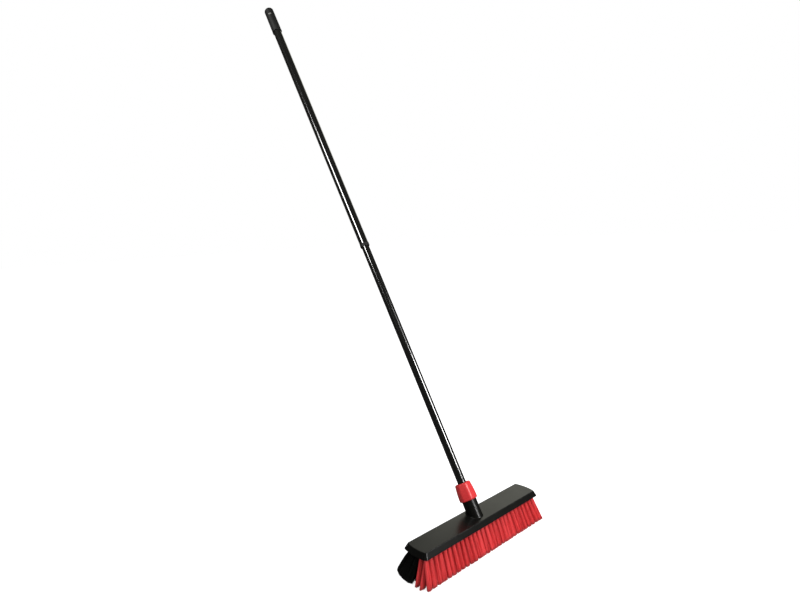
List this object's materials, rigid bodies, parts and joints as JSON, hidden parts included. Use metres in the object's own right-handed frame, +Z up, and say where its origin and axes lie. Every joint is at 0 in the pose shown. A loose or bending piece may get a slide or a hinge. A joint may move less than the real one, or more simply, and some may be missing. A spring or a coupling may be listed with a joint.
{
  "type": "push broom with telescoping handle",
  "caption": "Push broom with coarse red front bristles and fine black rear bristles under a low sloped head, and a leaning two-stage twist-lock handle held by a screw-down lock nut.",
  "frame": {"origin": "on the floor under the middle of the head, on a flat bristle tip of the first black row", "axes": "+X along the head, -Y the front with the red bristles, +Z up; the handle leans back towards +Y"},
  "size_m": [0.3948, 0.7803, 1.3271],
  "materials": {
    "cover_plastic": "satin moulded black",
    "block_plastic": "matte black",
    "red_bristle": "coarse extruded strands, slight gloss",
    "black_bristle": "fine extruded strands",
    "nut_plastic": "semi-gloss moulded red",
    "tube_paint": "gloss black on thin steel tube",
    "cap_plastic": "matte black",
    "lock_plastic": "natural grey moulding",
    "screw_steel": "zinc plated"
  },
  "bodies": {
    "head": {"head_cover": "cover_plastic", "brush_block": "block_plastic", "block_screws": "screw_steel", "red_bristles_1": "red_bristle", "red_bristles_2": "red_bristle", "red_bristles_3": "red_bristle", "black_bristles_1": "black_bristle", "black_bristles_2": "black_bristle", "black_bristles_3": "black_bristle", "black_bristles_4": "black_bristle"},
    "collet": {"collet": "lock_plastic"},
    "nut": {"lock_nut": "nut_plastic"},
    "lower_handle": {"lower_tube": "tube_paint", "tube_foot": "cap_plastic", "lock_stud": "lock_plastic", "stop_screw": "screw_steel"},
    "sleeve": {"lock_sleeve": "lock_plastic"},
    "cone": {"lock_cone": "lock_plastic"},
    "upper_handle": {"upper_tube": "tube_paint", "joint_collar": "cap_plastic", "end_cap": "cap_plastic"}
  },
  "joints": [
    {"name": "collet_lift", "type": "slide", "parent": "head", "child": "collet", "axis": [0, 0.5, 0.866], "range_m": [0, 0.0051]},
    {"name": "nut_turn", "type": "hinge", "parent": "collet", "child": "nut", "pos_m": [0, 0.02715, 0.10895], "axis": [0, 0.5, 0.866], "range_deg": [0, 450]},
    {"name": "handle_draw", "type": "slide", "parent": "head", "child": "lower_handle", "axis": [0, 0.5, 0.866], "range_m": [0, 0.045]},
    {"name": "twist_lock", "type": "hinge", "parent": "lower_handle", "child": "sleeve", "pos_m": [0, 0.38245, 0.72435], "axis": [0, 0.5, 0.866], "range_deg": [0, 180]},
    {"name": "cone_rise", "type": "slide", "parent": "sleeve", "child": "cone", "axis": [0, 0.5, 0.866], "range_m": [0, 0.0016]},
    {"name": "telescope", "type": "slide", "parent": "sleeve", "child": "upper_handle", "axis": [0, 0.5, 0.866], "range_m": [-0.585, 0.045]}
  ],
  "couplings": [
    {"joint": "collet_lift", "follows": "nut_turn", "m_per_rad": 0.00063662},
    {"joint": "cone_rise", "follows": "twist_lock", "m_per_rad": 0.00047746}
  ]
}
